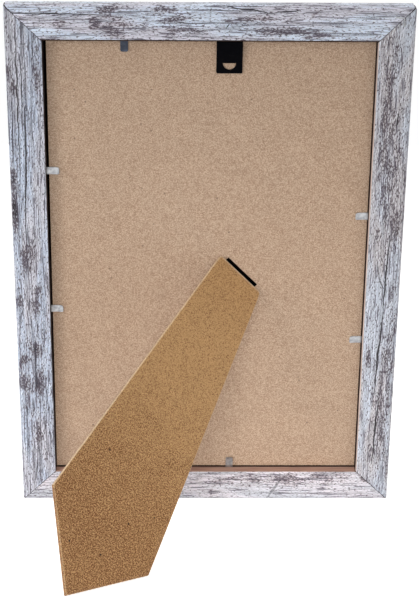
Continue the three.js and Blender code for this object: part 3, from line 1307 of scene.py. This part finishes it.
@dataclass
class Rails:
    """The four mitred rails with their rabbet, in mm. The mitres go from the bottom left to the top left."""

    back: Axes
    wall: float = 22.5
    rabbet_floor: float = -11.9
    outer_depth: float = 8.0
    front_face: float = -15.5
    arris: float = 2.5
    sight_rounding: float = 2.0
    outer_arris: float = 0.8
    slope_room: float = 0.05
    floor_room: float = 0.1
    shut_gap: float = 0.01
    slit: float = 5.0
    slices: int = 110
    rows: Tuple[float, ...] = (5.0, 8.5, 12.0, 15.5, 19.0)
    open_seat: str = "corner_nail_top_right_outer"
    seat_room: float = 0.22
    seat_top: float = 0.5
    mitres: Tuple[MitreEnd, ...] = (
        MitreEnd(0.10, 0.5, 0.10),
        MitreEnd(0.12, 0.5, 0.08),
        MitreEnd(0.45, 2.0, 0.03),
        MitreEnd(0.40, 0.9, 0.10),
    )
    # The roundings and depths set how much dark core shows as painted shade: a wide dark line under the top rail,
    # and the bottom's wall deeper than 5.7 mm.
    inner_edges: Dict[Side, InnerEdge] = field(
        default_factory=lambda: {
            Side.BOTTOM: InnerEdge(0.4, 5.7),
            Side.RIGHT: InnerEdge(0.7, 0.7),
            Side.TOP: InnerEdge(1.1, 1.1),
            Side.LEFT: InnerEdge(0.2, 0.2),
        }
    )

    def build(self) -> None:
        """Model, place and dress each rail."""
        for side in Side:
            self.build_rail(side)

    def side_axes(self, side: Side) -> Axes:
        """Find a rail's own axes.

        Args:
            side: the rail's side.

        Returns:
            Axes with x along the rail, y from its outer edge inwards and z out of its back.
        """
        turned = self.back.turned(side.turn)
        low, _ = turned.box(f"rail_{side.label}")
        return turned.moved(0, low.y, 0)

    def build_rail(self, side: Side) -> None:
        """Model, place and dress one rail.

        Args:
            side: the rail's side.
        """
        axes = self.side_axes(side)
        node = f"rail_{side.label}"
        low, high = axes.box(node)
        start = Vector((low.x, 0, self.front_face))
        bench = Bench.cube(f"{node}_worn", start, Vector((high.x, self.wall, high.z)))
        with bench.shaping():
            self.shape_section(bench, side, high)
            self.cut_mitres(bench, side, high)
            self.slice_along(bench, high)
        self.open_nail_seat(bench, side, axes)
        self.mark_wear(bench, side)
        self.mark_core(bench, side)
        piece = bench.place(axes)
        paint = Finishes.paint[side]
        edge = Finishes.inner_edge[side]
        dress(piece, paint, paint.material(axes), Finishes.core.material(axes), edge.material(axes))
        seat(piece, "frame", node)

    def shape_section(self, bench: Bench, side: Side, high: Vector) -> None:
        """Shape the rail's section: the lip under the rabbet, the sloping front and the rounded edges.

        Args:
            bench: the bench, in edit mode.
            side: the rail's side.
            high: highest corner of the CAD rail.
        """
        bench.cut((0, 0, self.rabbet_floor), (0, 0, 1), keep_both=True)
        bench.faces(lambda middle, normal: normal.y > FACING and middle.z < self.rabbet_floor)
        bpy.ops.mesh.extrude_region_move(TRANSFORM_OT_translate={"value": (0, high.y - self.wall, 0)})
        fall = self.front_face + self.outer_depth
        bench.cut((0, 0, -self.outer_depth), (0, fall, -high.y))

        def along(ends: Tuple[Vector, Vector], y: float, z: float) -> bool:
            """Tell whether an edge runs along the rail at a place in its section."""
            return all(abs(end.y - y) < EPS and abs(end.z - z) < self.slope_room for end in ends)

        edge = self.inner_edges[side]
        roundings = (
            (((0, 0),), self.arris, 7),
            (((high.y, self.front_face),), self.sight_rounding, 5),
            (((0, -self.outer_depth),), self.outer_arris, 3),
            (((self.wall, 0), (high.y, self.rabbet_floor)), edge.arris, 2),
        )
        for places, width, steps in roundings:
            bench.edges(lambda a, b: any(along((a, b), *place) for place in places))
            bench.bevel(width, steps)
        for row in self.rows:
            bench.cut((0, row, 0), (0, 1, 0), keep_both=True)
        bench.cut((0, 0, -edge.depth), (0, 0, 1), keep_both=True)

    def cut_mitres(self, bench: Bench, side: Side, high: Vector) -> None:
        """Cut both ends to their mitres, blunt their tips and ease the cut edges.

        Args:
            bench: the bench, in edit mode.
            side: the rail's side.
            high: highest corner of the CAD rail.
        """
        first = list(Side).index(side)
        ends = {-1: self.mitres[first], 1: self.mitres[(first + 1) % len(self.mitres)]}
        for way, state in ends.items():
            joint = Vector((way * (high.x - self.shut_gap), 0, 0))
            normal = Vector((way, 1, 0)).normalized()
            bench.cut(joint, normal)
            bench.edges(lambda a, b: all(abs((end - joint).dot(normal)) < EPS for end in (a, b)))
            bench.bevel(state.ease, steps=2)
            opened = joint + Vector((-way * self.slit, self.slit, 0))
            slit_run = opened - joint + Vector((way * state.opening, 0, 0))
            bench.cut(opened, Vector((way * slit_run.y, -way * slit_run.x, 0)))
            tip = Vector((way * (high.x - state.blunt), 0, 0))
            bench.cut(tip, (way, -1, 0))

    def slice_along(self, bench: Bench, high: Vector) -> None:
        """Slice the rail along its length, so that its wear has points to lie on."""
        bench.edges(lambda a, b: abs(a.x - b.x) > high.x)
        bpy.ops.mesh.subdivide(number_cuts=self.slices)

    def open_nail_seat(self, bench: Bench, side: Side, axes: Axes) -> None:
        """Open the one nail seat that the paint no longer covers.

        Args:
            bench: the bench, with the rail on it.
            side: the rail's side.
            axes: the rail's axes.
        """
        if side.label not in self.open_seat:
            return
        cutter = Bench.copy_of("nail_cutter", self.open_seat, axes)
        with cutter.shaping():
            bpy.ops.mesh.select_all(action="SELECT")
            bpy.ops.transform.shrink_fatten(value=self.seat_room)
            top = max(vertex.co.z for vertex in bmesh.from_edit_mesh(cutter.piece.data).verts)
            cutter.corners(lambda point: point.z > top - self.seat_top)
            bpy.ops.transform.translate(value=(0, 0, CLEAR))
        bench.carve(cutter)

    def mark_wear(self, bench: Bench, side: Side) -> None:
        """Write the rail's worn patches into a point attribute.

        Args:
            bench: the bench, with the rail on it.
            side: the rail's side.
        """
        mesh = bench.piece.data
        paint = Finishes.paint[side]
        wear = mesh.attributes.new("wear", "FLOAT", "POINT")
        wear.data.foreach_set("value", [paint.wear_at(vertex.co) for vertex in mesh.vertices])

    def mark_core(self, bench: Bench, side: Side) -> None:
        """Number the faces of the rabbet and the mitres, which wear the dark core as painted shade, and those of
        the inner edge, which wear the side's own copy of the core.

        Args:
            bench: the bench, with the rail on it.
            side: the rail's side.
        """
        edge = self.inner_edges[side]
        for face in bench.piece.data.polygons:
            middle, normal = face.center, face.normal
            in_rabbet = middle.y > self.wall - edge.arris and middle.z > self.rabbet_floor - self.floor_room
            on_mitre = abs(normal.z) < LEVEL and min(abs(normal.x), normal.y) > SLANTED
            if in_rabbet and middle.z > -edge.depth:
                face.material_index = RailFace.EDGE
            else:
                face.material_index = RailFace.CORE if in_rabbet or on_mitre else RailFace.PAINT


@dataclass
class Backing:
    """The back panel with its slot and the pocket for the hanger's hook, the sheet and the glass, in mm."""

    back: Axes
    leg: Axes
    edge: float = 0.15
    overhang: float = 1.15
    skew: float = 1.58
    rim: float = 20.0
    slot_room: float = 0.2
    slot_play: float = 0.55
    slot_floor: float = 0.3
    pocket_room: float = 0.3
    hook_length: float = 13.0
    hook_thickness: float = 0.6

    def build(self) -> None:
        """Model the panel and dress the sheet and the glass."""
        self.build_panel()
        coat("picture_sheet", Finishes.paper.material(self.back))
        coat("glass_pane", Finishes.glass.material(self.back))

    def build_panel(self) -> None:
        """Saw the panel, with its left edge out of square, and cut its slot and its pocket."""
        low, high = self.back.box("back_panel")
        left = low.x - self.overhang
        bench = Bench.cube("back_panel_board", Vector((left, low.y, low.z)), high)
        with bench.shaping():
            slope = self.skew / (high.z - low.z)
            bench.cut((left, low.y, high.z), (-1, self.skew / (high.y - low.y), slope))
            bench.edges(lambda a, b: True)
            bench.bevel(self.edge, steps=3)
        bench.carve(self.slot_cutter(low, high))
        bench.carve(self.pocket_cutter(low))
        # The slot's walls and floor and the sloping left edge wear the near-black board, painted shade.
        for face in bench.piece.data.polygons:
            middle, normal = face.center, face.normal
            sunk = max(abs(middle.x), abs(middle.y)) < high.x - self.rim and middle.z < high.z - EPS
            in_slot = sunk and normal.z > -SLANTED
            on_edge = middle.x < left + self.skew and normal.x < -TURNED
            face.material_index = int(in_slot or on_edge)
        piece = bench.place(self.back)
        board, shade_fill = Finishes.panel, Finishes.sawn_edge
        dress(piece, board, board.material(self.back), shade_fill.material(self.back))
        seat(piece, "frame", "back_panel")

    def slot_cutter(self, low: Vector, high: Vector) -> Bench:
        """Model the bar that cuts the slot, which the leg's blade goes through at a slant. The bar stops short of
        the panel's front, so the slot keeps a floor, which wears near-black painted shade.

        Args:
            low: lowest corner of the panel.
            high: highest corner of the panel.

        Returns:
            The bench with the bar on it.
        """
        to_back = self.back.bench_matrix().inverted() @ self.leg.bench_matrix()
        across = (to_back.to_3x3() @ Vector((1, 0, 0))).normalized()
        steep = (to_back.to_3x3() @ Vector((0, 1, 0))).normalized()
        rise = Vector((-across.y, across.x, 0))
        slant = steep.dot(rise) / -steep.z
        corners = [to_back @ point for point in self.leg.points("leg_blade")]
        along = [corner.dot(across) for corner in corners]
        level = [corner.dot(rise) + (corner.z - high.z) * slant for corner in corners]
        top = max(level) + (high.z - low.z) * slant + self.slot_play
        room = Vector((self.slot_room, self.slot_room, 0))
        start = Vector((min(along), min(level), low.z + self.slot_floor)) - room
        bench = Bench.cube("slot_cutter", start, Vector((max(along), top, high.z + CLEAR)) + room)
        bench.activate()
        bench.piece.matrix_world = Matrix.Rotation(math.atan2(across.y, across.x), 4, "Z")
        bpy.ops.object.transform_apply(location=True, rotation=True, scale=True)
        return bench

    def pocket_cutter(self, low: Vector) -> Bench:
        """Model the dent that the hanger's hook is pressed into.

        Args:
            low: lowest corner of the panel.

        Returns:
            The bench with the dent's block on it.
        """
        plate_low, plate_high = self.back.box("hanger_plate")
        room = even(self.pocket_room)
        start = Vector((plate_low.x, plate_high.y - self.hook_length, low.z - CLEAR)) - room
        end = Vector((plate_high.x, plate_high.y + CLEAR, plate_low.z + self.hook_thickness)) + room
        return Bench.cube("pocket_cutter", start, end)


@dataclass
class Hanger:
    """The pressed steel plate that hooks over the panel's top edge and hangs on a nail, in mm."""

    back: Axes
    thickness: float = 0.6
    hook: float = 12.0
    raised: float = 8.2
    slope: float = 5.0
    lower_face: float = -5.3
    bend: float = 0.9
    corner: float = 1.0
    edge: float = 0.12
    hole_width: float = 8.0
    hole_height: float = 4.2
    hole_margin: float = 2.4
    hole_reach: float = 4.0
    hole_sides: int = 40

    def build(self) -> None:
        """Bend the plate, punch its hole, place it and dress it."""
        low, high = self.back.box("hanger_plate")
        half = self.thickness / 2
        top = high.y - half
        raised_z = high.z - half
        hook_z = low.z + half
        lower_z = self.lower_face - half
        ends = (top - self.hook, low.y)
        start = Vector((low.x, ends[0], hook_z))
        bench = Bench.plane("hanger_plate_pressed", start, Vector((high.x, top, hook_z)))
        with bench.shaping():
            bench.edges(lambda a, b: min(a.y, b.y) > top - EPS)
            for step in (
                (0, 0, raised_z - hook_z),
                (0, -self.raised + half, 0),
                (0, -self.slope, lower_z - raised_z),
                (0, low.y - (top - self.raised + half - self.slope), 0),
            ):
                bpy.ops.mesh.extrude_region_move(TRANSFORM_OT_translate={"value": step})
            bench.edges(lambda a, b: abs(a.x - b.x) > EPS and not any(abs(a.y - end) < EPS for end in ends))
            bench.bevel(self.bend, steps=5)
            bench.corners(lambda point: abs(point.y - low.y) < EPS)
            bpy.ops.mesh.bevel(offset=self.corner, segments=5, affect="VERTICES")
            bpy.ops.mesh.select_all(action="SELECT")
            bpy.ops.mesh.normals_make_consistent(inside=False)
        bench.modifier("SOLIDIFY", thickness=self.thickness, offset=0)
        bench.carve(self.hole_cutter(low, high))
        bench.soften(self.edge)
        piece = bench.place(self.back)
        dress(piece, Finishes.black_steel, Finishes.black_steel.material(self.back))
        seat(piece, "frame", "hanger_plate")

    def hole_cutter(self, low: Vector, high: Vector) -> Bench:
        """Model the half-round bar that punches the nail hole, with its flat side up.

        Args:
            low: lowest corner of the plate.
            high: highest corner of the plate.

        Returns:
            The bench with the bar on it.
        """
        flat = low.y + self.hole_margin + self.hole_height
        middle = Vector(((low.x + high.x) / 2, flat, self.lower_face))
        half = Vector((self.hole_width / 2, self.hole_height, self.hole_reach))
        bench = Bench.round_bar("hole_cutter", middle, half, self.hole_sides)
        with bench.shaping():
            bench.cut((0, flat, 0), (0, 1, 0))
        return bench


@dataclass
class Points:
    """The six flexible steel points that hold the panel in, and the nails in the mitres, in mm."""

    rails: Rails
    back: Axes
    tip_radius: float = 1.25
    reach_back: float = 0.28
    lift: float = 0.8
    dip: float = 0.16
    rows: int = 7
    edge: float = 0.1

    def build(self) -> None:
        """Model the tongue of each point and dress the roots and the nails."""
        steel = Finishes.bright_steel.material(self.back)
        shaded_tongue = Finishes.dull_steel.material(self.back)
        for node in frame["nodes"]:
            if node.startswith("tab_tongue_"):
                label = node.removeprefix("tab_tongue_")
                # The top tongue wears the darker copy of the steel, painted shade.
                self.build_tongue(label, shaded_tongue if label == Side.TOP.label else steel)
            elif node.startswith(("tab_root_", "corner_nail_")):
                coat(node, steel)

    def build_tongue(self, label: str, steel: bpy.types.Material) -> None:
        """Model one tongue, curved as fingers and pliers leave it.

        Args:
            label: the point's side and number.
            steel: its material.
        """
        side = next(side for side in Side if label.startswith(side.label))
        axes = self.rails.side_axes(side)
        node = f"tab_tongue_{label}"
        low, high = axes.box(node)
        low.y -= self.reach_back
        bench = Bench.cube(f"tab_tongue_{label}_bent", low, high)
        with bench.shaping():
            bench.upright_edges(lowest=high.y - EPS)
            bench.bevel(self.tip_radius, steps=6)
            span = high.y - low.y
            for row in range(1, self.rows):
                bench.cut((0, low.y + span * row / self.rows, 0), (0, 1, 0), keep_both=True)
            mesh = bmesh.from_edit_mesh(bench.piece.data)
            for place in sorted({round(vertex.co.y, 3) for vertex in mesh.verts}):
                share = (place - low.y) / span
                rise = self.lift * share ** 3 - self.dip * math.sin(math.pi * share)
                bench.corners(lambda point: abs(point.y - place) < 2 * EPS)
                bpy.ops.transform.translate(value=(0, 0, rise))
        bench.soften(self.edge)
        piece = bench.place(axes)
        dress(piece, Finishes.bright_steel, steel)
        seat(piece, f"tab_{label}", node)


@dataclass
class EaselLeg:
    """The fibreboard leg with the steel blade that plugs into the panel's slot, in mm."""

    leg: Axes
    top_width: float = 36.8
    top_corner: float = 2.2
    foot_corner: float = 0.6
    foot_zone: float = 60.0
    arris: float = 0.3
    top_ease: float = 0.7
    top_arris: float = 1.4
    blade_room: float = 0.05
    blade_corner: float = 1.6
    blade_edge: float = 0.12

    def build(self) -> None:
        """Saw the leg, let in the blade, place both and dress them."""
        self.build_board()
        self.build_blade()

    def build_board(self) -> None:
        """Model the tapered board with its two foot edges."""
        found = self.leg.points("easel_leg")
        low, high = self.leg.box("easel_leg")
        right = max(found, key=lambda point: point.x)
        left = min(found, key=lambda point: point.x)
        tip = min(found, key=lambda point: point.y)
        bench = Bench.cube("easel_leg_board", low, high)
        with bench.shaping():
            for foot, way in ((right, 1), (left, -1)):
                top = Vector((way * self.top_width / 2, high.y, 0))
                for point, run in ((foot, top - foot), (tip, foot - tip)):
                    bench.cut(point, Vector((way * run.y, -way * run.x, 0)).normalized())
            bench.upright_edges(lowest=high.y - EPS)
            bench.bevel(self.top_corner, steps=6)
            bench.upright_edges(highest=(right.y + tip.y) / 2 + self.foot_zone)
            bench.bevel(self.foot_corner, steps=3)
            eased = high.y - self.top_corner - EPS
            bench.edges(lambda a, b: min(a.y, b.y) > eased and min(a.z, b.z) > high.z - EPS)
            bench.bevel(self.top_ease, steps=2)
        blade_low, blade_high = self.leg.box("leg_blade")
        room = even(self.blade_room)
        bench.carve(Bench.cube("blade_cutter", blade_low - room - Vector((0, 0, CLEAR)), blade_high + room))
        bench.soften(self.arris)
        with bench.shaping():
            bench.cut((0, high.y - self.top_arris, 0), (0, 1, 0), keep_both=True)
        # Painted highlight: sides that do not face down, and a band along the top of the outer face, wear the pale
        # cut edge.
        for face in bench.piece.data.polygons:
            on_side = abs(face.normal.z) < 1 - LEVEL and face.normal.y > -TURNED
            face.material_index = int(on_side or face.center.y > high.y - self.top_arris)
        piece = bench.place(self.leg)
        dress(piece, Finishes.leg, Finishes.leg.material(self.leg), Finishes.cut_edge.material(self.leg))
        seat(piece, "leg", "easel_leg")

    def build_blade(self) -> None:
        """Model the steel blade with its rounded leading corners."""
        low, high = self.leg.box("leg_blade")
        bench = Bench.cube("leg_blade_steel", low, high)
        with bench.shaping():
            bench.upright_edges(lowest=high.y - EPS)
            bench.bevel(self.blade_corner, steps=5)
        bench.soften(self.blade_edge)
        piece = bench.place(self.leg)
        dress(piece, Finishes.black_steel, Finishes.black_steel.material(self.leg))
        seat(piece, "leg", "leg_blade")


@dataclass
class Lamp:
    """A soft lamp: its place, aim and size in metres, its spread in degrees and its power in watts."""

    name: str
    place: Triple
    aim: Triple
    size: float
    spread: float
    power: float

    def build(self) -> None:
        """Hang the lamp and turn it to its aim."""
        data = bpy.data.lights.new(self.name, "AREA")
        data.shape = "DISK"
        data.size = self.size
        data.spread = math.radians(self.spread)
        data.energy = self.power
        lamp = bpy.data.objects.new(self.name, data)
        bpy.context.scene.collection.objects.link(lamp)
        lamp.visible_camera = False
        lamp.location = self.place
        lamp.rotation_euler = (Vector(self.aim) - Vector(self.place)).to_track_quat("-Z", "Y").to_euler()


@dataclass
class Studio:
    """The camera at the photograph's angle, the pale floor and the soft light.

    The eye is in millimetres in the back's axes, the angles are in degrees and the floor is in metres.
    """

    back: Axes
    eye: Triple = (-19.25, 493.65, 1041.0)
    pitch: float = 26.35
    yaw: float = 1.13
    roll: float = -0.62
    focal_pixels: float = 1800.0
    image_height: int = 600
    ambient: float = 0.42
    floor_size: float = 8.0
    floor_drop: float = 0.0002
    floor_colour: Colour = (0.9, 0.9, 0.9, 1.0)
    floor_glow: float = 0.74
    lamps: Tuple[Lamp, ...] = (
        Lamp("left_lamp", (0.9, 0.65, 0.3), (0, -0.09, 0.03), 0.6, 45, 0.5),
        Lamp("top_lamp", (0.0, 0.6, 1.4), (0, -0.08, 0.1), 0.8, 70, 0.45),
        Lamp("low_lamp", (0.1, 1.25, 0.25), (-0.06, -0.1, -0.16), 0.6, 36, 0.62),
        Lamp("front_lamp", (0.3, -1.0, 2.0), (0, 0, 0.15), 1.2, 120, 5.0),
    )

    def build(self) -> None:
        """Set the camera, the floor, the world and the lamps."""
        bpy.context.scene.view_settings.view_transform = "Standard"
        self.build_camera()
        self.build_floor()
        self.build_world()
        for lamp in self.lamps:
            lamp.build()
        LOG.info("studio: camera, floor, world and %d lamps", len(self.lamps))

    def build_camera(self) -> None:
        """Stand the camera where the photograph was taken."""
        data = bpy.data.cameras.new("camera")
        data.lens = self.focal_pixels * data.sensor_width / self.image_height
        camera = bpy.data.objects.new("camera", data)
        bpy.context.scene.collection.objects.link(camera)
        turn = (
            Matrix.Rotation(math.radians(self.roll), 4, "Z")
            @ Matrix.Rotation(math.radians(self.pitch), 4, "X")
            @ Matrix.Rotation(math.radians(self.yaw), 4, "Y")
        )
        camera.matrix_world = self.back.moved(*self.eye).to_part @ turn.transposed()
        bpy.context.scene.camera = camera

    def seen_directly(self, board: NodeBoard) -> Socket:
        """Mask the rays that show the background: from the camera, off metal and through glass.

        Args:
            board: the board of the floor or the world.

        Returns:
            The mask, 1 on those rays.
        """
        path = board.add("ShaderNodeLightPath", {}).outputs
        mirrored = board.most(path["Is Glossy Ray"], path["Is Transmission Ray"])
        return board.most(path["Is Camera Ray"], mirrored)

    def build_floor(self) -> None:
        """Lay the floor, which looks white but keeps the object's shadow."""
        bpy.ops.object.select_all(action="DESELECT")
        bpy.ops.mesh.primitive_plane_add(size=self.floor_size, location=(0, 0, -self.floor_drop))
        floor = bpy.context.active_object
        floor.name = "floor"
        material = bpy.data.materials.new("pale_floor")
        material.use_nodes = True
        board = NodeBoard(material.node_tree)
        matt = board.add("ShaderNodeBsdfDiffuse", {"Color": self.floor_colour})
        share = board.times(self.seen_directly(board), self.floor_glow)
        glow = board.add("ShaderNodeEmission", {"Color": WHITE, "Strength": share})
        summed = board.add("ShaderNodeAddShader", {0: matt.outputs[0], 1: glow.outputs[0]})
        board.add("ShaderNodeOutputMaterial", {"Surface": summed.outputs[0]})
        floor.data.materials.append(material)

    def build_world(self) -> None:
        """Fill the room with soft light and show it white."""
        world = bpy.data.worlds.new("soft_room")
        world.use_nodes = True
        board = NodeBoard(world.node_tree)
        strength = board.span(self.seen_directly(board), self.ambient, 1.0)
        sky = board.add("ShaderNodeBackground", {"Color": WHITE, "Strength": strength})
        board.add("ShaderNodeOutputWorld", {"Surface": sky.outputs[0]})
        bpy.context.scene.world = world


def main() -> None:
    """Build the studio and every sub-assembly in order."""
    logging.basicConfig(level=logging.INFO, format="%(message)s")
    back = back_axes()
    leg = leg_axes(back)
    rails = Rails(back)
    Studio(back).build()
    rails.build()
    Backing(back, leg).build()
    Hanger(back).build()
    Points(rails, back).build()
    EaselLeg(leg).build()


if __name__ == "__main__":
    main()
